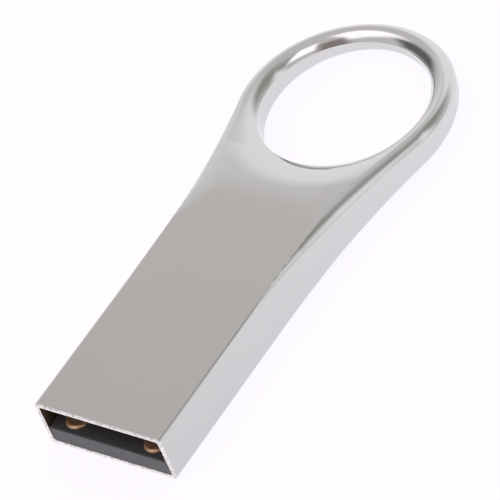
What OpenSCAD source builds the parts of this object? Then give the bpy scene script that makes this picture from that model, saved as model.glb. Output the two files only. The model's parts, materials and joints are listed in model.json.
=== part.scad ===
// USB flash drive: a one-piece plated zinc casing whose front end is the USB-A plug shell
// and whose far end is a keyring ring, with a moulded memory module on a plastic carrier.
// Millimetres. The origin is the centre of the plug's mouth. Y runs from there to the ring, Z is up.

/* [Casing] */
// Width of the plug and of the straight part of the body
body_w = 12.0; // [12.0:0.1:12.1]
// Thickness of the plug and of the straight part of the body
body_t = 4.5; // [4.4:0.1:4.6]
// Wall of the plug shell
wall = 0.35; // [0.3:0.05:0.4]
// Depth of the hollow behind the mouth
cavity_depth = 26.4; // [26.3:0.1:26.6]
// Corner radius of the hollow
cavity_corner_r = 0.2; // [0.1:0.1:0.3]
// Rounding of the body's four long edges
edge_r = 0.3; // [0.2:0.05:0.35]

/* [Ring] */
// Distance from the mouth to the centre of the ring
ring_y = 35.9; // [35.5:0.4:35.9]
// Outer radius of the ring
ring_r = 9.1; // [9.05:0.05:9.1]
// Radius of the keyring hole
hole_r = 7.1; // [6.6:0.25:7.1]
// Distance from the mouth to where the sides start to flare towards the ring
flare_y = 12.4; // [12.4:0.3:13.0]
// Distance from the mouth to where top and underside start to close towards the ring
taper_y = 24.1; // [24.1:0.2:24.5]
// Slope of top and underside beyond that line, in degrees
taper_angle = 3.0; // [2.5:0.5:3.0]
// How far the ring's rounding reaches in from its rim and from its hole
round_w = 0.9; // [0.85:0.05:0.95]
// Steepest slope of the ring's rounding, in degrees
round_slope = 76; // [72:2:76]

/* [Carrier and retainer] */
// Gap between the plastic pieces and the side walls
side_gap = 0.05; // [0.03:0.01:0.08]
// Thickness of the carrier's floor
carrier_floor = 0.25; // [0.2:0.01:0.3]
// Thickness of the lip that closes the front of the carrier
lip_t = 0.25; // [0.2:0.05:0.3]
// Distance from the mouth plane to the lip
lip_y = 0.05; // [0:0.05:0.1]
// How far the retainer reaches over the module
ledge_l = 3.0; // [2:0.1:4]
// Height of the crush ribs on the retainer
rib_h = 0.15; // [0.1:0.01:0.2]
// Width of a crush rib
rib_w = 0.6; // [0.4:0.1:0.8]
// Thickness of the tape between carrier and module
tape_t = 0.05; // [0.04:0.01:0.06]

/* [Memory module] */
// Length of the module
module_l = 24.6; // [24.4:0.05:24.7]
// Thickness of the moulded layer
mould_t = 0.9; // [0.88:0.01:1.0]
// Thickness of the module's substrate
substrate_t = 0.26; // [0.24:0.01:0.28]
// Thickness of the solder mask
mask_t = 0.04; // [0.03:0.01:0.05]

/* [Contacts] */
// Distance between the two power contacts
power_pitch = 7.5; // [7.3:0.05:7.6]
// Distance between the two data contacts
data_pitch = 2.0; // [1.95:0.05:2.1]
// Width of a power contact
power_w = 2.0; // [1.8:0.1:2.2]
// Width of a data contact
data_w = 1.4; // [1.2:0.1:1.5]
// Distance from the front of the module to the power contacts
power_inset = 0.15; // [0.1:0.05:0.3]
// How much further back the data contacts start
data_step = 1.0; // [0.8:0.1:1.2]
// Distance from the mouth to the rear end of all four contacts
contact_end_y = 8.6; // [8.4:0.1:9]
// How far the contacts stand proud of the solder mask
contact_rise = 0.2; // [0.1:0.05:0.3]
// Side of a test pad
test_pad_w = 0.9; // [0.7:0.05:1.0]
// Distance between test pads
test_pitch = 1.5; // [1.3:0.05:1.6]

/* [Chips] */
// Side of the controller die
controller_w = 3.0; // [2.8:0.1:3.2]
// Width of a memory die
nand_w = 8.4; // [8:0.1:8.6]
// Length of a memory die
nand_l = 10.6; // [10:0.1:10.8]
// Thickness of a die
die_t = 0.15; // [0.12:0.01:0.16]
// Thickness of the film under each die
attach_t = 0.02; // [0.015:0.005:0.025]
// How far the second memory die is set back from the edge with the bond pads
nand_step = 0.7; // [0.6:0.05:0.8]
// Diameter of a bond wire
wire_d = 0.025; // [0.02:0.005:0.03]
// Bond wires along each row
wires_per_row = 9; // [6:1:10]

/* [Hidden] */
$fn = 96;

// Colours
zinc_plate = [0.80, 0.80, 0.80];
black_plastic = [0.10, 0.10, 0.11];
tape_white = [0.86, 0.85, 0.80];
epoxy_amber = [0.72, 0.60, 0.35];
laminate_green = [0.16, 0.30, 0.20];
mask_black = [0.06, 0.06, 0.07];
gold_plate = [0.83, 0.65, 0.30];
mould_black = [0.13, 0.13, 0.14];
silicon_grey = [0.42, 0.43, 0.47];
film_cream = [0.78, 0.74, 0.62];
can_nickel = [0.75, 0.74, 0.72];
ceramic_tan = [0.62, 0.48, 0.34];
resistor_black = [0.09, 0.09, 0.10];
ferrite_grey = [0.28, 0.28, 0.30];
tin_grey = [0.70, 0.71, 0.72];

// Casing outline. Each side is straight to flare_y, then a hollow arc about flare_c that runs
// tangentially into the ring. The rounding follows the same course on the tapered faces, where
// lengths along y are longer by 1 / cos(taper_angle).
half_w = body_w / 2;
centres_dy = ring_y - flare_y;
taper_stretch = 1 / cos(taper_angle);

// Radius of the arc from the straight side to the ring, if the two centres are dy apart along y
function side_radius(dy) =
    (pow(dy, 2) + pow(half_w, 2) - pow(ring_r, 2)) / (2 * (ring_r - half_w));

flare_r = side_radius(centres_dy);
flare_c = [half_w + flare_r, flare_y];
flare_angle = atan(centres_dy / flare_c[0]);
ring_tangent = [0, ring_y] + ring_r * [cos(flare_angle), -sin(flare_angle)];
taper_flare_r = side_radius(centres_dy * taper_stretch);
taper_flare_x = half_w + taper_flare_r;
taper_flare_angle = atan(centres_dy * taper_stretch / taper_flare_x);
flare_fn = 720;

// The roundings of side and rim change over a little way along the ring, where they still lie
// within a fiftieth of a millimetre of each other
rim_start = 3;
flare_overrun = 0.5;

// Rounding of the ring: an arc that meets the tapered face tangentially and ends round_depth
// below it, on the upright side
round_r = round_w / sin(round_slope);
round_depth = round_r * (1 - cos(round_slope));

// Rounding of the long edges: an arc a little flatter than a quarter circle, so that it crosses
// both faces at an angle. Its centre lies edge_arc_c inside both of them.
edge_flatness = 1.2;
edge_arc_r = edge_flatness * edge_r;
edge_arc_c = (edge_r + sqrt(2 * pow(edge_arc_r, 2) - pow(edge_r, 2))) / 2;

// How far cutters reach past what they cut, sideways and upwards
past = 1;
beyond = 3;

// Heights, from the middle of the plug
top_z = body_t / 2;
bottom_z = -top_z;
ceiling_z = top_z - wall;
floor_z = bottom_z + wall;
cavity_w = body_w - 2 * wall;
cavity_h = ceiling_z - floor_z;
inner_w = cavity_w - 2 * side_gap;
tape_z = floor_z + carrier_floor;
module_z = tape_z + tape_t;
substrate_z = module_z + mould_t;
mask_z = substrate_z + substrate_t;
tongue_z = mask_z + mask_t;

// Positions along the plug
epoxy_l = 0.5;
epoxy_gap = 0.5;
module_y = lip_y + lip_t;
module_end_y = module_y + module_l;
carrier_end_y = cavity_depth - epoxy_l;
retainer_y = module_end_y - ledge_l;
tape_inset = 1.2;
rib_inset = 1.2;
rib_end_gap = 0.3;
test_pads_y = 13;
test_columns = 6;
test_rows = 2;

// Parts under the substrate. They hang down from its lower face.
controller_c = [-2.4, 5.6];
nand_c = [0, 16.6];
nand_edge_y = nand_c[1] - nand_l / 2;
finger_w = 0.14;
finger_l = 0.3;
finger_t = 0.02;
finger_gap = 0.35;
wire_inset = 0.15;
step_wire_inset = 0.35;
wire_drop = 0.05;
wire_span = finger_gap + finger_l / 2 + wire_inset;
wire_fn = 16;
row_margin = 0.4;
controller_pitch = (controller_w - 2 * row_margin) / (wires_per_row - 1);
nand_pitch = (nand_w - 2 * row_margin) / (wires_per_row - 1);
land_t = 0.02;
capacitor_size = [0.5, 1.0, 0.5];
resistor_size = [0.5, 1.0, 0.35];
bead_size = [0.8, 1.6, 0.6];
crystal_size = [2.0, 1.6, 0.5];
crystal_c = [1.6, 4.2];
bead_c = [4.4, 4.4];
capacitor_row = [1.0, 1.9, 2.8, 3.7, 4.6];
resistor_row = [-4.8, -3.9, -3.0];
capacitor_y = 7.4;
resistor_y = 8.9;
dies_depth = attach_t + die_t;

// Draws its children, and their mirror image top to bottom.
module both_faces() {
    children();
    mirror([0, 0, 1]) children();
}

// Draws its children, and their mirror image left to right.
module both_sides() {
    children();
    mirror([1, 0, 0]) children();
}

// Frame of the tapered top face: its z = 0 is the face, and y is measured from taper_y.
module on_taper() {
    translate([0, taper_y, top_z]) rotate([-taper_angle, 0, 0]) children();
}

// Position along the tapered face from which straight down, at right angles to the face, lies
// the point at distance y from the mouth and round_depth below the face
function taper_pos(y) = (y - taper_y) * taper_stretch + round_depth * tan(taper_angle);

module casing_outline() {
    difference() {
        union() {
            polygon([
                [-half_w, 0], [half_w, 0], [half_w, flare_y], ring_tangent,
                [-ring_tangent[0], ring_tangent[1]], [-half_w, flare_y]
            ]);
            translate([0, ring_y]) circle(ring_r);
        }
        both_sides() translate(flare_c) circle(flare_r, $fn = flare_fn);
        translate([0, ring_y]) circle(hole_r);
    }
}

// Everything above the tapered face
module taper_cutter() {
    on_taper() translate([-ring_r - past, 0, 0])
        cube([2 * (ring_r + past), ring_y + ring_r, beyond]);
}

// Section of the rounding cutter: material is left inside the circle.
// It cuts from radius 0 outwards to +reach, and its arc starts at -round_w.
module round_section(reach) {
    difference() {
        translate([-round_w, -round_r]) square([round_w + reach, round_r + beyond]);
        translate([-round_w, -round_r]) circle(round_r);
    }
}

// Rounding of the rim of the hole
module hole_cutter() {
    on_taper() translate([0, taper_pos(ring_y), 0])
        rotate_extrude() translate([hole_r, 0]) mirror([1, 0]) round_section(past);
}

// Rounding of the ring's outer rim, from one flaring side round the far end to the other
module rim_cutter() {
    first = rim_start - taper_flare_angle;
    on_taper() translate([0, taper_pos(ring_y), 0]) rotate([0, 0, first])
        rotate_extrude(angle = 180 - 2 * first) translate([ring_r, 0]) round_section(past);
}

// The same rounding along one flaring side, fading out towards the plug
module flare_cutter() {
    turn = taper_flare_angle + flare_overrun;
    on_taper() translate([taper_flare_x, taper_pos(flare_y), 0]) rotate([0, 0, 180 - turn])
        rotate_extrude(angle = turn, $fn = flare_fn)
            translate([taper_flare_r, 0]) mirror([1, 0]) round_section(past);
}

// Section of the rounding of a long edge
module edge_section() {
    difference() {
        translate([-edge_arc_c, -edge_arc_c]) square([edge_arc_c + past, edge_arc_c + past]);
        translate([-edge_arc_c, -edge_arc_c]) circle(edge_arc_r);
    }
}

// Rounding of one long edge of the body: straight part, then along the flaring arc
module edge_cutter() {
    translate([half_w, flare_y, top_z]) rotate([90, 0, 0])
        linear_extrude(flare_y + past) edge_section();
    translate([flare_c[0], flare_c[1], top_z]) rotate([0, 0, 180 - flare_angle])
        rotate_extrude(angle = flare_angle, $fn = flare_fn)
            translate([flare_r, 0]) mirror([1, 0]) edge_section();
}

module cavity() {
    translate([0, cavity_depth, 0]) rotate([90, 0, 0])
        linear_extrude(cavity_depth + past) rounded_rectangle(cavity_w, cavity_h, cavity_corner_r);
}

module rounded_rectangle(w, h, r) {
    square([w, h - 2 * r], center = true);
    square([w - 2 * r, h], center = true);
    for (x = [-1, 1], y = [-1, 1])
        translate([x * (w / 2 - r), y * (h / 2 - r)]) circle(r, $fn = 32);
}

module casing() {
    color(zinc_plate) difference() {
        translate([0, 0, bottom_z]) linear_extrude(body_t) casing_outline();
        both_faces() {
            taper_cutter();
            hole_cutter();
            rim_cutter();
            both_sides() flare_cutter();
            both_sides() edge_cutter();
        }
        cavity();
    }
}

// A box centred across the plug, given its y and z limits
module span(w, y0, y1, z0, z1) {
    translate([-w / 2, y0, z0]) cube([w, y1 - y0, z1 - z0]);
}

module carrier() {
    color(black_plastic) {
        span(inner_w, lip_y, carrier_end_y, floor_z, tape_z);
        span(inner_w, lip_y, module_y, floor_z, tongue_z);
    }
}

// Sits on the rear of the carrier and reaches forward over the module. Its ribs touch the casing.
module retainer() {
    block_w = inner_w - 2 * rib_h;
    rib_y = retainer_y + rib_inset;
    color(black_plastic) {
        span(block_w, retainer_y, carrier_end_y, tongue_z, ceiling_z - rib_h);
        span(block_w, module_end_y, carrier_end_y, tape_z, tongue_z);
        both_sides() {
            translate([rib_inset, rib_y, ceiling_z - rib_h])
                cube([rib_w, carrier_end_y - rib_y, rib_h]);
            translate([block_w / 2, rib_y, tongue_z + rib_end_gap])
                cube([rib_h + side_gap, rib_w, ceiling_z - rib_h - tongue_z - 2 * rib_end_gap]);
        }
    }
}

module mounting_tape() {
    color(tape_white)
        span(inner_w - 2 * tape_inset, module_y + tape_inset, module_end_y - tape_inset,
             tape_z, module_z);
}

module epoxy_bead() {
    color(epoxy_amber)
        span(inner_w - 2 * epoxy_gap, carrier_end_y, cavity_depth, floor_z, ceiling_z - epoxy_gap);
}

module substrate() {
    color(laminate_green) span(inner_w, module_y, module_end_y, substrate_z, mask_z);
}

// A contact's outline with a round front end
module contact_outline(x, w, y0) {
    translate([x, y0 + w / 2]) circle(w / 2);
    translate([x - w / 2, y0 + w / 2]) square([w, contact_end_y - y0 - w / 2]);
}

module power_contact(side) {
    translate([0, 0, mask_z]) linear_extrude(mask_t + contact_rise)
        contact_outline(side * power_pitch / 2, power_w, module_y + power_inset);
}

module data_contact(side) {
    translate([0, 0, mask_z]) linear_extrude(mask_t + contact_rise)
        contact_outline(side * data_pitch / 2, data_w, module_y + power_inset + data_step);
}

module contact_vbus() {
    color(gold_plate) power_contact(1);
}

module contact_dminus() {
    color(gold_plate) data_contact(1);
}

module contact_dplus() {
    color(gold_plate) data_contact(-1);
}

module contact_gnd() {
    color(gold_plate) power_contact(-1);
}

module test_pads() {
    color(gold_plate)
        for (column = [0:test_columns - 1], row = [0:test_rows - 1])
            translate([
                (column - (test_columns - 1) / 2) * test_pitch,
                test_pads_y + row * test_pitch,
                mask_z + mask_t / 2
            ])
                cube([test_pad_w, test_pad_w, mask_t], center = true);
}

module solder_mask() {
    color(mask_black) difference() {
        span(inner_w, module_y, module_end_y, mask_z, tongue_z);
        for (side = [-1, 1]) {
            power_contact(side);
            data_contact(side);
        }
        test_pads();
    }
}

// A flat layer under the substrate, centred on c, at a depth below the substrate's lower face
module hung(c, size, depth) {
    translate([c[0] - size[0] / 2, c[1] - size[1] / 2, substrate_z - depth - size[2]]) cube(size);
}

module controller_attach() {
    color(film_cream) hung(controller_c, [controller_w, controller_w, attach_t], 0);
}

module controller_die() {
    color(silicon_grey) hung(controller_c, [controller_w, controller_w, die_t], attach_t);
}

module nand_attach_lower() {
    color(film_cream) hung(nand_c, [nand_w, nand_l, attach_t], 0);
}

module nand_die_lower() {
    color(silicon_grey) hung(nand_c, [nand_w, nand_l, die_t], attach_t);
}

module nand_attach_upper() {
    color(film_cream) hung(nand_c + [0, nand_step], [nand_w, nand_l, attach_t], dies_depth);
}

module nand_die_upper() {
    color(silicon_grey)
        hung(nand_c + [0, nand_step], [nand_w, nand_l, die_t], dies_depth + attach_t);
}

// Places its children at each wire of a row that is centred on x
module along_row(x, pitch) {
    for (i = [0:wires_per_row - 1])
        translate([x + (i - (wires_per_row - 1) / 2) * pitch, 0, 0]) children();
}

module bond_fingers() {
    finger = [finger_w, finger_l, finger_t];
    controller_finger_y = controller_w / 2 + finger_gap + finger_l / 2;
    color(gold_plate) {
        for (side = [-1, 1])
            along_row(controller_c[0], controller_pitch)
                hung([0, controller_c[1] + side * controller_finger_y], finger, 0);
        along_row(nand_c[0], nand_pitch)
            hung([0, nand_edge_y - finger_gap - finger_l / 2], finger, 0);
    }
}

// A wire loop in the YZ plane from the depth near at y = 0 to the depth far at y = span
module wire_loop(near, far, span) {
    lowest = max(near, far) + wire_drop;
    translate([0, 0, substrate_z - lowest]) cylinder(d = wire_d, h = lowest - near, $fn = wire_fn);
    translate([0, span, substrate_z - lowest]) cylinder(d = wire_d, h = lowest - far, $fn = wire_fn);
    translate([0, span / 2, substrate_z - lowest]) rotate([0, 90, 0]) rotate([0, 0, -90])
        rotate_extrude(angle = 180, $fn = 2 * wire_fn)
            translate([span / 2, 0]) circle(d = wire_d, $fn = wire_fn);
}

module controller_wires() {
    reach = controller_w / 2 - wire_inset;
    color(gold_plate) along_row(controller_c[0], controller_pitch) {
        translate([0, controller_c[1] + reach, 0]) wire_loop(dies_depth, finger_t, wire_span);
        translate([0, controller_c[1] - reach - wire_span, 0])
            wire_loop(finger_t, dies_depth, wire_span);
    }
}

module nand_wires() {
    color(gold_plate) along_row(nand_c[0], nand_pitch) {
        translate([0, nand_edge_y - finger_gap - finger_l / 2, 0])
            wire_loop(finger_t, dies_depth, wire_span);
        translate([0, nand_edge_y + step_wire_inset, 0])
            wire_loop(dies_depth, 2 * dies_depth, nand_step);
    }
}

module crystal() {
    color(can_nickel) hung(crystal_c, crystal_size, land_t);
}

module capacitors() {
    color(ceramic_tan) for (x = capacitor_row) hung([x, capacitor_y], capacitor_size, land_t);
}

module resistors() {
    color(resistor_black) for (x = resistor_row) hung([x, resistor_y], resistor_size, land_t);
}

module ferrite_bead() {
    color(ferrite_grey) hung(bead_c, bead_size, land_t);
}

// The two lands under the ends of one chip part
module land_pair(c, size) {
    land = [size[0], size[1] / 4, land_t];
    for (end = [-1, 1]) hung(c + [0, end * (size[1] - land[1]) / 2], land, 0);
}

module solder_lands() {
    color(tin_grey) {
        for (x = capacitor_row) land_pair([x, capacitor_y], capacitor_size);
        for (x = resistor_row) land_pair([x, resistor_y], resistor_size);
        land_pair(bead_c, bead_size);
        land_pair(crystal_c, crystal_size);
    }
}

module mould_compound() {
    color(mould_black) difference() {
        span(inner_w, module_y, module_end_y, module_z, substrate_z);
        controller_attach();
        controller_die();
        nand_attach_lower();
        nand_die_lower();
        nand_attach_upper();
        nand_die_upper();
        bond_fingers();
        controller_wires();
        nand_wires();
        crystal();
        capacitors();
        resistors();
        ferrite_bead();
        solder_lands();
    }
}

casing();
carrier();
retainer();
mounting_tape();
epoxy_bead();
substrate();
solder_mask();
contact_vbus();
contact_dminus();
contact_dplus();
contact_gnd();
test_pads();
mould_compound();
controller_die();
controller_attach();
nand_die_lower();
nand_attach_lower();
nand_die_upper();
nand_attach_upper();
bond_fingers();
controller_wires();
nand_wires();
crystal();
capacitors();
resistors();
ferrite_bead();
solder_lands();
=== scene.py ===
"""Looks of the USB flash drive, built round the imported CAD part. Metres, in the CAD frame:
the origin is the centre of the plug's mouth, Y runs from there to the ring, and Z is up."""

import json
import math

import bmesh
import bpy
import numpy as np
from mathutils import Matrix, Vector


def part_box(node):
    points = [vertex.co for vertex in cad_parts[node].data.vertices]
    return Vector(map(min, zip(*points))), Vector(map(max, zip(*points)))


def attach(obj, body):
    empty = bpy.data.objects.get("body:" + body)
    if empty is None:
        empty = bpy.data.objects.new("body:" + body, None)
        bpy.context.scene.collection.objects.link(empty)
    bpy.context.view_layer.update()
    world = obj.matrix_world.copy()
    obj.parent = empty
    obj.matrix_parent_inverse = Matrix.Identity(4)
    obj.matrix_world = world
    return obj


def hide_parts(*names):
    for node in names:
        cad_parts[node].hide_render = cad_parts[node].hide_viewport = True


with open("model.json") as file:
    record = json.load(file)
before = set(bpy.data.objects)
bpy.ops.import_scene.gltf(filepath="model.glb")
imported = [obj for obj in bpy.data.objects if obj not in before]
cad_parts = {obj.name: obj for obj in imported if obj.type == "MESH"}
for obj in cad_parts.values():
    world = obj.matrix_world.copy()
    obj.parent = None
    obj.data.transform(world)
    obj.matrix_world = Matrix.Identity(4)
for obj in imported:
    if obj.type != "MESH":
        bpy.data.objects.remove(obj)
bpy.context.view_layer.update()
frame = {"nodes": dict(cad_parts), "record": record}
MM = 0.001
TINY = 1e-9

# ---------------------------------------------------------------- sizes taken from the CAD part
casing_lo, casing_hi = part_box("casing")
carrier_lo, carrier_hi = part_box("carrier")
KEYRING = next(m for m in frame["record"]["mounts"] if m["name"] == "keyring_hole")

TOP_Z = casing_hi.z
RING_R = casing_hi.x
RING_Y = KEYRING["pos_m"][1]
HOLE_R = KEYRING["dims"]["r_mm"] * MM
HALF_W = carrier_hi.x + 0.40 * MM       # side gap and wall of the plug shell
WALL = 0.35 * MM
CAVITY_R = 0.20 * MM
CAVITY_DEPTH = 26.4 * MM

# ---------------------------------------------------------------- form of the casing
FLARE_Y = 12.4 * MM                     # where the straight sides end
TAPER_Y = 24.1 * MM                     # where top and underside start to close
TAPER_SLOPE = 0.0526                    # about 3 degrees
TAPER_BLEND = 1.1 * MM                  # length over which flat and taper run into each other
EDGE_R = 0.30 * MM                      # rounding of the long edges
RIM_W = 1.10 * MM                       # width of the rounding along the ring's outer edge
RIM_R = 1.15 * MM                       # its radius
HOLE_W_FAR = 1.50 * MM                  # width of the rounding of the hole, at the far end
HOLE_W_NEAR = 3.2 * MM                  # the same on the body's side
HOLE_DROP = 0.85 * MM                   # depth of that rounding
SHOULDER_Y = 20.2 * MM                  # where the top starts to fall away towards the sides
SHOULDER_END = 24.4 * MM                # where that strip has its full width
SHOULDER_W = 2.8 * MM
SHOULDER_SLOPE = 0.09                   # steepest slope of the strip
CREASE_BLEND = 0.03 * MM                # depth over which face, rim and edge run into each other
SEAM_Y = 25.9 * MM                      # where the mesh of the body meets the mesh of the ring

# ---------------------------------------------------------------- camera and floor
CAMERA_POS = Vector((199, -151, 246)) * MM
CAMERA_TARGET = Vector((0.45, 20.45, 0)) * MM
CAMERA_ROLL = math.radians(-23.4)
CAMERA_LENS = 334.5                     # mm, on the sensor's width below
SENSOR = 36
FLOOR_SIDE = 6.0


# ================================================================ form of the casing
FLARE_DY = RING_Y - FLARE_Y
FLARE_R = (FLARE_DY**2 + HALF_W**2 - RING_R**2) / (2 * (RING_R - HALF_W))
FLARE_X = HALF_W + FLARE_R
FLARE_ANGLE = math.atan(FLARE_DY / FLARE_X)


def rim_distance(x, y):
    """Distance from points inside the casing's outline to its side, with x not negative."""
    straight = HALF_W - x
    flare = np.hypot(x - FLARE_X, y - FLARE_Y) - FLARE_R
    ring = RING_R - np.hypot(x, y - RING_Y)
    on_ring = np.arctan2(y - RING_Y, x) > -FLARE_ANGLE
    return np.where(on_ring, ring, np.where(y > FLARE_Y, flare, straight))


def arc_drop(d, width, radius):
    """How far a rounding has dropped at distance d from the edge: an arc, level at width."""
    run = np.clip(width - d, 0, radius)
    return radius - np.sqrt(radius**2 - run**2)


def soft_min(a, b, blend):
    """The smaller of two heights, with the change between them rounded over blend."""
    share = np.clip(0.5 + 0.5 * (b - a) / blend, 0, 1)
    return b * (1 - share) + a * share - blend * share * (1 - share)


def face_height(y):
    """Height of the top face without its roundings: level, then tapering towards the ring."""
    level = np.full_like(y, TOP_Z)
    return soft_min(level, TOP_Z - (y - TAPER_Y) * TAPER_SLOPE, TAPER_BLEND * TAPER_SLOPE * 2)


def top_height(x, y):
    """Height of the casing's upper surface."""
    x = np.abs(x)
    rim_d = np.maximum(rim_distance(x, y), 0)
    hole_d = np.maximum(np.hypot(x, y - RING_Y) - HOLE_R, 0)
    face = face_height(y)
    taper = TOP_Z - (y - TAPER_Y) * TAPER_SLOPE
    rim = taper - arc_drop(rim_d, RIM_W, RIM_R)
    edge = TOP_Z - arc_drop(rim_d, EDGE_R, EDGE_R)
    height = soft_min(face, soft_min(rim, edge, CREASE_BLEND), CREASE_BLEND)
    growth = np.clip((y - SHOULDER_Y) / (SHOULDER_END - SHOULDER_Y), 0, 1)
    shoulder = SHOULDER_W * np.sqrt(growth) + TINY
    height = height - SHOULDER_SLOPE * np.maximum(shoulder - rim_d, 0) ** 2 / (2 * shoulder)
    towards_body = np.clip((RING_Y - y) / HOLE_R, 0, 1)
    width = HOLE_W_FAR + (HOLE_W_NEAR - HOLE_W_FAR) * towards_body**2
    radius = (width**2 + HOLE_DROP**2) / (2 * HOLE_DROP)
    return height - arc_drop(hole_d, width, radius)


def outline_x(y):
    """Half the casing's width at distance y from the mouth, up to the ring."""
    return np.where(y > FLARE_Y, FLARE_X - np.sqrt(FLARE_R**2 - (y - FLARE_Y) ** 2), HALF_W)


BAND = 2.4 * MM          # strip along the sides with close mesh lines
BAND_STEPS = 30
MIDDLE_STEPS = 24
WALL_STEPS = 10
RAY_STEPS = 72
FIRST_ROW_Y = 0.06 * MM
CLOSE_ROWS_Y = 21 * MM   # beyond this the rows of the body lie closest
PLAIN_ROWS = 14
FLARE_ROWS = 46
TAPER_ROWS = 70
FLARE_STEPS = 70
RING_STEPS = 120
WELD_DISTANCE = 1e-8
CASING_SHARP = 6         # edges steeper than these angles, in degrees, stay sharp
MOULDING_SHARP = 40
CONTACT_SHARP = 40
CAVITY_DEPTHS = (1, 2, 4, 8, 16, CAVITY_DEPTH / MM)    # of the mesh rows in the hollow, in mm


def row_across(y):
    """The x of the mesh points across the body at y, from the right side to the left."""
    turn = np.linspace(0, math.pi / 2, BAND_STEPS + 1)
    inwards = BAND * (1 - np.cos(turn))
    half = outline_x(np.array(y)) - inwards
    middle = np.linspace(half[-1], -half[-1], MIDDLE_STEPS + 1)[1:-1]
    return np.concatenate([half, middle, -half[::-1]])


class Mesh:
    """Collects points and faces, and makes one Blender mesh of them."""

    def __init__(self):
        self.points = []
        self.quads = []
        self.caps = []
        self.count = 0

    def add(self, points):
        """Adds points and returns their numbers."""
        points = np.asarray(points, float).reshape(-1, 3)
        self.points.append(points)
        self.count += len(points)
        return np.arange(self.count - len(points), self.count)

    def strip(self, a, b, closed=False, flip=False):
        """Quads between two rows of point numbers."""
        if closed:
            a = np.append(a, a[0])
            b = np.append(b, b[0])
        quads = np.stack([a[:-1], a[1:], b[1:], b[:-1]], 1)
        self.quads.append(quads[:, ::-1] if flip else quads)

    def grid(self, rows, closed=False, flip=False):
        for a, b in zip(rows[:-1], rows[1:]):
            self.strip(a, b, closed, flip)

    def cap(self, loop):
        """One face inside a closed row of point numbers."""
        self.caps.append(loop.tolist())

    def build(self, name, material, smooth_angle=None):
        mesh = bpy.data.meshes.new(name)
        points = np.concatenate(self.points)
        faces = np.concatenate(self.quads).tolist() + self.caps
        mesh.from_pydata(points.tolist(), [], faces)
        mesh.materials.append(material)
        mesh.update()
        obj = bpy.data.objects.new(name, mesh)
        bpy.context.collection.objects.link(obj)
        weld(mesh, WELD_DISTANCE)
        if smooth_angle is not None:
            shade(obj, smooth_angle)
        return obj


def weld(mesh, distance):
    """Merges points in the same place and drops faces that have no area."""
    work = bmesh.new()
    work.from_mesh(mesh)
    bmesh.ops.remove_doubles(work, verts=work.verts, dist=distance)
    bmesh.ops.dissolve_degenerate(work, edges=work.edges, dist=distance)
    work.to_mesh(mesh)
    work.free()
    mesh.update()


def shade(obj, angle):
    """Smooth shading, with edges steeper than the angle kept sharp."""
    mesh = obj.data
    mesh.polygons.foreach_set("use_smooth", [True] * len(mesh.polygons))
    mesh.set_sharp_from_angle(angle=math.radians(angle))


def body_rows():
    """Distances from the mouth of the mesh rows of the body, closer where the form changes."""
    plain = np.linspace(FIRST_ROW_Y, FLARE_Y, PLAIN_ROWS)
    flare = np.linspace(FLARE_Y, CLOSE_ROWS_Y, FLARE_ROWS)[1:]
    taper = np.linspace(CLOSE_ROWS_Y, SEAM_Y, TAPER_ROWS)[1:]
    return np.concatenate([plain, flare, taper])


def body_section(y):
    """Points round the outside of the body at y, from the top right round to the lower right."""
    x = row_across(y)
    z = top_height(x, np.full_like(x, y))
    side = np.linspace(1, -1, WALL_STEPS + 1)[1:-1]
    top = np.stack([x, z], 1)
    left = np.stack([np.full_like(side, x[-1]), side * z[-1]], 1)
    bottom = np.stack([x[::-1], -z[::-1]], 1)
    right = np.stack([np.full_like(side, x[0]), -side * z[0]], 1)
    ring = np.concatenate([top, left, bottom, right])
    return np.insert(ring, 1, y, axis=1)


def into_cavity(points, inset):
    """The nearest points on the cavity's outline, moved outwards by inset."""
    half = np.array([HALF_W - WALL, TOP_Z - WALL]) - CAVITY_R
    flat = points[:, [0, 2]]
    core = np.clip(flat, -half, half)
    out = flat - core
    out /= np.linalg.norm(out, axis=1)[:, None]
    return core + out * (CAVITY_R + inset)


MOUTH_OUTER = 0.07 * MM      # rounding of the rim's outer edge
MOUTH_INNER = 0.06 * MM      # rounding of its inner edge
MOUTH_STEPS = 4


def mouth_rings(first):
    """Rows of points from the first section round the mouth's rim to the end of the cavity."""
    core = into_cavity(first, 0)
    flat = first[:, [0, 2]]
    inwards = core - flat
    inwards /= np.linalg.norm(inwards, axis=1)[:, None]
    rows = []
    for turn in np.linspace(0, math.pi / 2, MOUTH_STEPS + 1)[1:]:
        edge = flat + inwards * MOUTH_OUTER * (1 - math.cos(turn))
        rows.append(np.insert(edge, 1, MOUTH_OUTER * (1 - math.sin(turn)), axis=1))
    for turn in np.linspace(0, math.pi / 2, MOUTH_STEPS + 1):
        edge = into_cavity(first, MOUTH_INNER * (1 - math.sin(turn)))
        rows.append(np.insert(edge, 1, MOUTH_INNER * (1 - math.cos(turn)), axis=1))
    for depth in CAVITY_DEPTHS:
        rows.append(np.insert(core, 1, depth * MM, axis=1))
    return rows


def ring_outline():
    """Points of the casing's outline beyond the seam, from the right side round to the left."""
    flare = np.linspace(math.asin((SEAM_Y - FLARE_Y) / FLARE_R), FLARE_ANGLE, FLARE_STEPS)
    x = FLARE_X - FLARE_R * np.cos(flare)
    y = FLARE_Y + FLARE_R * np.sin(flare)
    turn = np.linspace(-FLARE_ANGLE, math.pi / 2, RING_STEPS)[1:]
    x = np.concatenate([x, RING_R * np.cos(turn)])
    y = np.concatenate([y, RING_Y + RING_R * np.sin(turn)])
    right = np.stack([x, y], 1)
    left = right[-2::-1] * [-1, 1]
    return np.concatenate([right, left])


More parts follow.
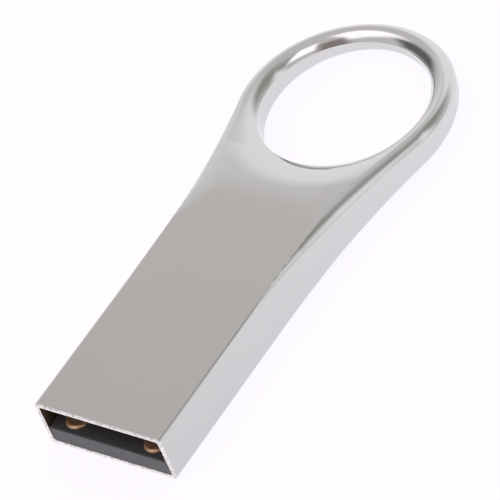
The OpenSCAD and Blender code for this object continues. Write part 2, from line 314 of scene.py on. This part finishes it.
def build_casing(material):
    mesh = Mesh()
    ys = body_rows()
    sections = [body_section(y) for y in ys]
    rows = [mesh.add(s) for s in sections]
    mesh.grid(rows, closed=True)
    mouth = [mesh.add(r) for r in mouth_rings(sections[0])]
    mesh.grid([rows[0]] + mouth, closed=True, flip=True)
    across = len(row_across(SEAM_Y))
    cap_top = mouth[-1][:across]
    cap_bottom = mouth[-1][across + WALL_STEPS - 1:2 * across + WALL_STEPS - 1][::-1]
    mesh.strip(cap_top, cap_bottom, flip=True)

    # ring: rays from the hole out to the outline, then back along the seam
    outline = ring_outline()
    seam_x = row_across(SEAM_Y)
    seam = np.stack([seam_x[::-1], np.full_like(seam_x, SEAM_Y)], 1)[1:-1]
    ends = np.concatenate([outline, seam])
    centre = np.array([0, RING_Y])
    towards = ends - centre
    towards /= np.linalg.norm(towards, axis=1)[:, None]
    starts = centre + towards * HOLE_R
    share = (1 - np.cos(np.linspace(0, math.pi, RAY_STEPS + 1))) / 2
    tops, bottoms = [], []
    for t in share:
        flat = starts + (ends - starts) * t
        z = top_height(flat[:, 0], flat[:, 1])
        tops.append(mesh.add(np.column_stack([flat, z])))
        bottoms.append(mesh.add(np.column_stack([flat, -z])))
    mesh.grid(tops, closed=True, flip=True)
    mesh.grid(bottoms, closed=True)
    hole_z = top_height(starts[:, 0], starts[:, 1])
    walls = [np.column_stack([starts, hole_z * s]) for s in np.linspace(1, -1, WALL_STEPS + 1)]
    mesh.grid([mesh.add(w) for w in walls], closed=True)
    rim_z = top_height(outline[:, 0], outline[:, 1])
    walls = [np.column_stack([outline, rim_z * s]) for s in np.linspace(1, -1, WALL_STEPS + 1)]
    mesh.grid([mesh.add(w) for w in walls], flip=True)
    casing = mesh.build("casing_shell", material, CASING_SHARP)
    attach(casing, "root")
    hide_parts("casing")


# ================================================================ pieces behind the mouth
CONTACT_ROLL = 0.32 * MM     # length over which a contact's edge rolls down
ARC_STEPS = 28
ROLL_STEPS = 10
CARRIER_BEVEL = 0.05 * MM


def contact_row(lo, hi, inset):
    """Points round a contact with a round front end, moved inwards by inset."""
    half = (hi.x - lo.x) / 2
    turn = np.linspace(math.pi, 2 * math.pi, ARC_STEPS + 1)
    x = (half - inset) * np.cos(turn)
    y = half + (half - inset) * np.sin(turn)
    rear = hi.y - lo.y - inset
    x = np.concatenate([x, [x[-1], x[0]]])
    y = np.concatenate([y, [rear, rear]])
    return np.stack([x + (lo.x + hi.x) / 2, y + lo.y], 1)


def build_contact(node, material):
    """A contact stamped from thick strip, with its edges rolled down."""
    lo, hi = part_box(node)
    mesh = Mesh()
    rows = [mesh.add(np.insert(contact_row(lo, hi, 0), 2, lo.z, axis=1))]
    for turn in np.linspace(0, math.pi / 2, ROLL_STEPS + 1):
        row = contact_row(lo, hi, CONTACT_ROLL * (1 - math.cos(turn)))
        rows.append(mesh.add(np.insert(row, 2, lo.z + (hi.z - lo.z) * math.sin(turn), axis=1)))
    mesh.grid(rows, closed=True)
    mesh.cap(rows[-1])
    mesh.cap(rows[0][::-1])
    contact = mesh.build(node + "_rolled", material, CONTACT_SHARP)
    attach(contact, "root")
    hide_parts(node)


def build_carrier(material):
    """The moulded carrier: its floor, and the lip that closes the front of the tongue."""
    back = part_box("substrate")[0].y
    floor_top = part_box("mounting_tape")[0].z
    profile = (
        (carrier_lo.y, carrier_lo.z), (carrier_hi.y, carrier_lo.z), (carrier_hi.y, floor_top),
        (back, floor_top), (back, carrier_hi.z), (carrier_lo.y, carrier_hi.z),
    )
    work = bmesh.new()
    face = work.faces.new([work.verts.new((carrier_lo.x, y, z)) for y, z in profile])
    side = bmesh.ops.extrude_face_region(work, geom=[face])["geom"]
    moved = [v for v in side if isinstance(v, bmesh.types.BMVert)]
    bmesh.ops.translate(work, verts=moved, vec=(carrier_hi.x - carrier_lo.x, 0, 0))
    bmesh.ops.bevel(work, geom=work.edges[:], offset=CARRIER_BEVEL, segments=3, affect="EDGES")
    bmesh.ops.recalc_face_normals(work, faces=work.faces)
    mesh = bpy.data.meshes.new("carrier_moulding")
    work.to_mesh(mesh)
    work.free()
    mesh.materials.append(material)
    carrier = bpy.data.objects.new("carrier_moulding", mesh)
    bpy.context.collection.objects.link(carrier)
    shade(carrier, MOULDING_SHARP)
    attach(carrier, "root")
    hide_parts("carrier")


# ================================================================ materials
MICRON = 1e-6
MIX_A, MIX_B, MIX_OUT = 6, 7, 2    # sockets of a Mix node that mixes colours
STEP_END = 40 * MICRON             # a zone fades out between these distances past its limit
STEP_START = 20 * MICRON


class Recipe:
    """A material built from noises in the object's own space. Sizes are in mm."""

    def __init__(self, name, metallic=0.0, coat=0.0):
        self.material = bpy.data.materials.new(name)
        self.material.use_nodes = True
        self.tree = self.material.node_tree
        self.shader = self.tree.nodes["Principled BSDF"]
        self.shader.inputs["Metallic"].default_value = metallic
        self.shader.inputs["Coat Weight"].default_value = coat
        self.place = self.tree.nodes.new("ShaderNodeTexCoord").outputs["Object"]

    def feed(self, value, socket):
        if hasattr(value, "links"):
            self.tree.links.new(value, socket)
        else:
            socket.default_value = value

    def scaled(self, size):
        """Coordinates in which a feature of this size, in mm along x, y and z, measures one."""
        node = self.tree.nodes.new("ShaderNodeMapping")
        node.inputs["Scale"].default_value = [1 / (s * MM) for s in size]
        self.feed(self.place, node.inputs["Vector"])
        return node.outputs[0]

    def noise(self, size, detail=3.0, roughness=0.5):
        if not isinstance(size, tuple):
            size = (size,) * 3
        node = self.tree.nodes.new("ShaderNodeTexNoise")
        node.inputs["Scale"].default_value = 1.0
        node.inputs["Detail"].default_value = detail
        node.inputs["Roughness"].default_value = roughness
        self.feed(self.scaled(size), node.inputs["Vector"])
        return node.outputs["Fac"]

    def cells(self, size, feature="F1"):
        """Distance from the middle, or from the edge, of random cells."""
        node = self.tree.nodes.new("ShaderNodeTexVoronoi")
        node.feature = feature
        node.inputs["Scale"].default_value = 1.0
        self.feed(self.scaled((size,) * 3), node.inputs["Vector"])
        return node.outputs["Distance"]

    def bands(self, size, axis):
        """Smooth ripples across an axis."""
        node = self.tree.nodes.new("ShaderNodeTexWave")
        node.bands_direction = axis
        node.inputs["Scale"].default_value = 1.0
        node.inputs["Distortion"].default_value = 0.6
        self.feed(self.scaled((size,) * 3), node.inputs["Vector"])
        return node.outputs["Fac"]

    def levels(self, value, lo, hi, to_lo=0.0, to_hi=1.0):
        node = self.tree.nodes.new("ShaderNodeMapRange")
        self.feed(value, node.inputs["Value"])
        limits = {"From Min": lo, "From Max": hi, "To Min": to_lo, "To Max": to_hi}
        for name, limit in limits.items():
            self.feed(limit, node.inputs[name])
        return node.outputs["Result"]

    def maths(self, operation, a, b):
        node = self.tree.nodes.new("ShaderNodeMath")
        node.operation = operation
        self.feed(a, node.inputs[0])
        self.feed(b, node.inputs[1])
        return node.outputs[0]

    def along(self, axis):
        """The object's own coordinate along an axis, in metres."""
        node = self.tree.nodes.new("ShaderNodeSeparateXYZ")
        self.feed(self.place, node.inputs[0])
        return node.outputs[axis]

    def within(self, axis, limit):
        """One where the coordinate along an axis lies within the limit, either way."""
        distance = self.maths("ABSOLUTE", self.along(axis), 0)
        return self.levels(distance, limit + STEP_END, limit + STEP_START)

    def mix(self, factor, a, b):
        node = self.tree.nodes.new("ShaderNodeMix")
        node.data_type = "RGBA"
        self.feed(factor, node.inputs["Factor"])
        for value, socket in ((a, node.inputs[MIX_A]), (b, node.inputs[MIX_B])):
            self.feed((*value, 1) if isinstance(value, tuple) else value, socket)
        return node.outputs[MIX_OUT]

    def colour(self, value):
        self.feed(value, self.shader.inputs["Base Color"])

    def rough(self, value):
        self.feed(value, self.shader.inputs["Roughness"])

    def bump(self, height, microns):
        """Adds relief of this depth to what is there already."""
        node = self.tree.nodes.new("ShaderNodeBump")
        node.inputs["Distance"].default_value = microns * MICRON
        self.feed(height, node.inputs["Height"])
        before = self.shader.inputs["Normal"].links
        if before:
            self.feed(before[0].from_socket, node.inputs["Normal"])
        self.feed(node.outputs[0], self.shader.inputs["Normal"])


RIM_EDGE = 0.12 * MM         # the mouth's rim lies within this distance of the mouth plane
# painted shade: the plate runs from darker at the mouth to lighter at the ring, in place of the darker
# reflection of the floor beside the body
PLATE_SHADED_NEAR = (0.61, 0.61, 0.61)
PLATE_LIT_FAR = (0.68, 0.68, 0.68)


def plated_metal():
    """Polished nickel plate: faint waves, handling haze and hairlines, and painted shade that makes it
    darker towards the mouth and lighter towards the ring. The rim is trimmed and matter, with
    painted highlights among its patches of wear, and the hollow has a brown tint that is a painted
    reflection of the gold contacts."""
    metal = Recipe("plated_zinc", metallic=1.0)
    along = metal.along("Y")
    rim = metal.levels(along, RIM_EDGE, RIM_EDGE * 0.6)
    # painted shade: darker towards the mouth, lighter towards the ring
    painted_shade_ramp = metal.levels(along, 0, RING_Y)
    tone = metal.mix(painted_shade_ramp, PLATE_SHADED_NEAR, PLATE_LIT_FAR)
    tone = metal.mix(metal.levels(metal.noise(6.0), 0.3, 0.7, 0, 0.05), tone, (0.72, 0.72, 0.72))
    # the mouth's rim: grey patches of wear, and painted highlights where the base colour goes up to
    # white
    wear_and_highlights = metal.levels(metal.noise(0.3, 4.0, 0.7), 0.35, 0.6)
    trimmed_tone_and_highlights = metal.mix(wear_and_highlights, (0.50, 0.48, 0.47), (1.0, 0.98, 0.99))
    # painted reflection: a brown tint inside the hollow stands in for the gold contacts reflected in
    # its walls
    painted_gold_reflection = metal.mix(metal.noise(0.6, 4.0), (0.36, 0.21, 0.15), (0.62, 0.46, 0.38))
    hollow = metal.maths("MULTIPLY", metal.within("X", HALF_W - WALL), metal.within("Z", TOP_Z - WALL))
    hollow = metal.maths("MULTIPLY", hollow, metal.levels(along, SEAM_Y + MM, SEAM_Y + 0.9 * MM))
    tone = metal.mix(hollow, tone, painted_gold_reflection)
    metal.colour(metal.mix(rim, tone, trimmed_tone_and_highlights))
    haze = metal.levels(metal.noise(2.5, 5.0, 0.6), 0.45, 0.75, 0.055, 0.13)
    hairs = metal.levels(metal.noise((0.025, 2.2, 2.2), 4.0, 0.7), 0.62, 0.72, 0.0, 0.10)
    crossed = metal.levels(metal.noise((1.8, 0.02, 1.8), 4.0, 0.7), 0.66, 0.74, 0.0, 0.08)
    polished = metal.maths("ADD", haze, metal.maths("ADD", hairs, crossed))
    polished = metal.levels(hollow, 0, 1, polished, 0.35)
    metal.rough(metal.levels(rim, 0, 1, polished, metal.levels(metal.noise(0.12), 0, 1, 0.22, 0.42)))
    metal.bump(metal.noise(3.2, 1.0), 0.8)
    pits = metal.levels(metal.cells(1.9), 0.05, 0.02)
    metal.bump(metal.maths("MULTIPLY", pits, metal.levels(metal.noise(4.0), 0.52, 0.56)), -1.5)
    metal.bump(metal.maths("MULTIPLY", rim, metal.noise(0.18, 4.0)), 12.0)
    return metal.material


def gold():
    """Gold over nickel: satin, with rubbed streaks along the plug and a little tarnish."""
    plate = Recipe("gold_plate", metallic=0.72)
    plate.colour(plate.mix(plate.noise(0.5, 4.0), (0.66, 0.44, 0.27), (0.55, 0.36, 0.22)))
    streaks = plate.noise((0.04, 1.5, 0.5), 4.0, 0.7)
    plate.rough(plate.levels(streaks, 0.3, 0.7, 0.20, 0.38))
    plate.bump(streaks, 1.0)
    plate.bump(plate.noise(0.05), 1.0)
    return plate.material


def laminate():
    """Glass cloth in green resin: crossed yarns show as a faint weave."""
    board = Recipe("laminate", coat=0.2)
    weave = board.maths("MULTIPLY", board.bands(0.45, "X"), board.bands(0.45, "Y"))
    board.colour(board.mix(weave, (0.030, 0.075, 0.045), (0.075, 0.150, 0.085)))
    board.rough(board.levels(board.noise(0.2), 0.2, 0.8, 0.38, 0.55))
    board.bump(weave, 6.0)
    return board.material


def silicon():
    """Polished silicon, with the fine blocks of its circuits as slight changes of tone."""
    die = Recipe("silicon", coat=0.5)
    blocks = die.cells(0.35, "DISTANCE_TO_EDGE")
    tone = die.mix(die.levels(blocks, 0.02, 0.06), (0.10, 0.105, 0.13), (0.17, 0.175, 0.21))
    die.colour(die.mix(die.noise(1.5), tone, (0.13, 0.12, 0.17)))
    die.rough(die.levels(die.noise(0.1), 0.2, 0.8, 0.12, 0.22))
    die.bump(blocks, 1.0)
    return die.material


# Finish of the plainer materials: two tones, size of the patches between them, range of the
# roughness, size of the grain, depth of the grain in microns, metallic, coat
FINISHES = {
    "black_plastic": ((0.070, 0.070, 0.078), (0.088, 0.087, 0.094), 1.2, (0.38, 0.52), 0.06, 3, 0, 0),
    "mask": ((0.060, 0.060, 0.067), (0.085, 0.085, 0.092), 0.9, (0.24, 0.36), 0.20, 2, 0, 0.3),
    "tape": ((0.72, 0.70, 0.62), (0.62, 0.60, 0.52), 0.4, (0.65, 0.85), 0.08, 10, 0, 0),
    "epoxy": ((0.55, 0.36, 0.13), (0.42, 0.25, 0.08), 0.8, (0.10, 0.25), 0.5, 15, 0, 0.5),
    "mould": ((0.013, 0.013, 0.015), (0.024, 0.024, 0.026), 0.3, (0.60, 0.78), 0.03, 4, 0, 0),
    "die_film": ((0.58, 0.52, 0.36), (0.50, 0.44, 0.29), 0.3, (0.55, 0.75), 0.05, 3, 0, 0),
    "gold_wire": ((0.86, 0.60, 0.24), (0.76, 0.50, 0.18), 0.05, (0.15, 0.30), 0.01, 0.5, 1, 0),
    "crystal_can": ((0.60, 0.58, 0.54), (0.50, 0.48, 0.45), 0.4, (0.22, 0.40), 0.03, 1, 1, 0),
    "ceramic": ((0.34, 0.20, 0.10), (0.42, 0.27, 0.14), 0.10, (0.45, 0.65), 0.03, 3, 0, 0),
    "resistor_body": ((0.010, 0.010, 0.012), (0.020, 0.020, 0.022), 0.2, (0.10, 0.25), 0.06, 1, 0, 0.4),
    "ferrite": ((0.055, 0.055, 0.060), (0.090, 0.088, 0.090), 0.06, (0.55, 0.75), 0.03, 5, 0, 0),
    "tin": ((0.62, 0.62, 0.62), (0.48, 0.48, 0.50), 0.15, (0.22, 0.45), 0.06, 4, 1, 0),
}


def plain_finish(name):
    """A material from the table of finishes."""
    light, dark, patch, roughness, grain, depth, metallic, coat = FINISHES[name]
    finish = Recipe(name, metallic, coat)
    finish.colour(finish.mix(finish.noise(patch, 4.0), light, dark))
    finish.rough(finish.levels(finish.noise(patch * 0.6), 0.25, 0.75, *roughness))
    finish.bump(finish.noise(grain, 2.0), depth)
    return finish.material


def build_materials():
    """One material for each material slot of the record."""
    materials = {name: plain_finish(name) for name in FINISHES}
    materials["plated_zinc"] = plated_metal()
    materials["gold_plate"] = gold()
    materials["laminate"] = laminate()
    materials["silicon"] = silicon()
    return materials


def dress_nodes(materials):
    """Gives each node of the CAD part the material that its record names."""
    for part in frame["record"]["subparts"]:
        data = frame["nodes"][part["node"]].data
        data.materials.clear()
        data.materials.append(materials[part["material_slot"]])


# ================================================================ studio
FLOOR_GLOW = 0.89
FLOOR_TONE = 0.16
FLOOR_COLOUR = (1.0, 0.97, 1.02, 1)


def build_floor():
    """A plain white floor that glows a little, as a lit table does, so that shadows stay faint."""
    bpy.ops.mesh.primitive_plane_add(size=FLOOR_SIDE, location=(0, 0, casing_lo.z))
    floor = bpy.context.object
    floor.name = "floor"
    paper = Recipe("floor")
    paper.colour((FLOOR_TONE,) * 3 + (1,))
    paper.rough(1.0)
    paper.shader.inputs["Specular IOR Level"].default_value = 0.0
    paper.shader.inputs["Emission Color"].default_value = FLOOR_COLOUR
    paper.shader.inputs["Emission Strength"].default_value = FLOOR_GLOW
    floor.data.materials.append(paper.material)


# The grey room and its cards, each over those before it: name, azimuth and elevation of the
# centre, half width and half height, softness of the edge, all in degrees, then colour, and how
# much a card climbs towards larger azimuths. Azimuth 0 is +Y, 90 is +X.
ROOM = (0.68, 0.66, 0.65)
CARDS = (
    ("back_wall", -20, 15, 40, 25, 15, (1.0, 0.98, 1.0), 0.2),
    ("left_flag", -105, 20, 25, 20, 10, (0.15, 0.15, 0.15), -0.5),
    ("front_softbox", -150, 65, 45, 20, 10, (1.5, 1.45, 1.45), 0),
    ("back_right_flag", 50, 40, 30, 20, 15, (0.35, 0.35, 0.33), 0),
    ("front_right_flag", 145, 30, 20, 30, 10, (0.3, 0.25, 0.25), 0),
    ("right_softbox", 100, 55, 20, 15, 5, (1.5, 1.45, 1.5), 0),
    ("low_panel", 70, 20, 10, 15, 10, (1.0, 1.0, 1.0), -0.5),
    ("grey_panel", -55, 50, 12, 10, 2, (0.68, 0.65, 0.63), 0),
)
CARD_SIZES = ("centre_a", "centre_e", "half_w", "half_h", "soft")


def card_group():
    """A node group that tells how far a direction lies within a card."""
    group = bpy.data.node_groups.new("card", "ShaderNodeTree")
    face = group.interface
    for name in ("azimuth", "elevation", *CARD_SIZES, "climb"):
        face.new_socket(name, in_out="INPUT", socket_type="NodeSocketFloat")
    face.new_socket("mask", in_out="OUTPUT", socket_type="NodeSocketFloat")
    entry = group.nodes.new("NodeGroupInput")
    leave = group.nodes.new("NodeGroupOutput")

    def step(operation, *values):
        node = group.nodes.new("ShaderNodeMath")
        node.operation = operation
        for socket, value in zip(node.inputs, values):
            if isinstance(value, (int, float)):
                socket.default_value = value
            else:
                group.links.new(value, socket)
        return node.outputs[0]

    across = step("WRAP", step(
        "SUBTRACT", entry.outputs["azimuth"], entry.outputs["centre_a"]), 180, -180)
    up = step("SUBTRACT", entry.outputs["elevation"], entry.outputs["centre_e"])
    up = step("SUBTRACT", up, step("MULTIPLY", across, entry.outputs["climb"]))
    beyond = step("MAXIMUM", step("SUBTRACT", step("ABSOLUTE", across), entry.outputs["half_w"]),
                  step("SUBTRACT", step("ABSOLUTE", up), entry.outputs["half_h"]))
    fade = step("DIVIDE", beyond, entry.outputs["soft"])
    inside = group.nodes.new("ShaderNodeMapRange")
    inside.interpolation_type = "SMOOTHSTEP"
    for name, value in (("From Min", 1), ("From Max", -1), ("To Min", 0), ("To Max", 1)):
        inside.inputs[name].default_value = value
    group.links.new(fade, inside.inputs["Value"])
    group.links.new(inside.outputs["Result"], leave.inputs["mask"])
    return group


def build_world():
    """A studio of soft cards, seen in the reflections; the camera itself sees plain white."""
    world = bpy.data.worlds.new("studio")
    world.use_nodes = True
    bpy.context.scene.world = world
    tree = world.node_tree
    link = tree.links.new
    place = tree.nodes.new("ShaderNodeTexCoord")
    split = tree.nodes.new("ShaderNodeSeparateXYZ")
    link(place.outputs["Generated"], split.inputs[0])

    def maths(operation, *values):
        node = tree.nodes.new("ShaderNodeMath")
        node.operation = operation
        for socket, value in zip(node.inputs, values):
            link(value, socket)
        return node.outputs[0]

    x, y, z = split.outputs
    azimuth = maths("DEGREES", maths("ARCTAN2", x, y))
    elevation = maths("DEGREES", maths("ARCSINE", z))
    group = card_group()
    colour = None
    for name, *sizes, tone, climb in CARDS:
        card = tree.nodes.new("ShaderNodeGroup")
        card.node_tree = group
        card.label = name
        link(azimuth, card.inputs["azimuth"])
        link(elevation, card.inputs["elevation"])
        for key, value in zip((*CARD_SIZES, "climb"), (*sizes, climb)):
            card.inputs[key].default_value = value
        mix = tree.nodes.new("ShaderNodeMix")
        mix.data_type = "RGBA"
        link(card.outputs["mask"], mix.inputs["Factor"])
        if colour is None:
            mix.inputs[MIX_A].default_value = (*ROOM, 1)
        else:
            link(colour, mix.inputs[MIX_A])
        mix.inputs[MIX_B].default_value = (*tone, 1)
        colour = mix.outputs[MIX_OUT]
    seen = tree.nodes.new("ShaderNodeLightPath")
    plain = tree.nodes.new("ShaderNodeMix")
    plain.data_type = "RGBA"
    link(seen.outputs["Is Camera Ray"], plain.inputs["Factor"])
    link(colour, plain.inputs[MIX_A])
    plain.inputs[MIX_B].default_value = (1, 1, 1, 1)
    link(plain.outputs[MIX_OUT], tree.nodes["Background"].inputs["Color"])


def build_camera():
    """A long lens, looking at the drive from its mouth's side and from above."""
    data = bpy.data.cameras.new("camera")
    data.sensor_width = SENSOR
    data.lens = CAMERA_LENS
    data.clip_start = 0.01
    data.clip_end = 20
    camera = bpy.data.objects.new("camera", data)
    bpy.context.collection.objects.link(camera)
    aim = (CAMERA_TARGET - CAMERA_POS).to_track_quat("-Z", "Y").to_matrix().to_4x4()
    roll = Matrix.Rotation(CAMERA_ROLL, 4, "Z")
    camera.matrix_world = Matrix.Translation(CAMERA_POS) @ aim @ roll
    bpy.context.scene.camera = camera


materials = build_materials()
dress_nodes(materials)
build_casing(materials["plated_zinc"])
build_carrier(materials["black_plastic"])
for contact in ("contact_vbus", "contact_dminus", "contact_dplus", "contact_gnd"):
    build_contact(contact, materials["gold_plate"])
build_floor()
build_world()
build_camera()
bpy.context.scene.view_settings.view_transform = "Standard"
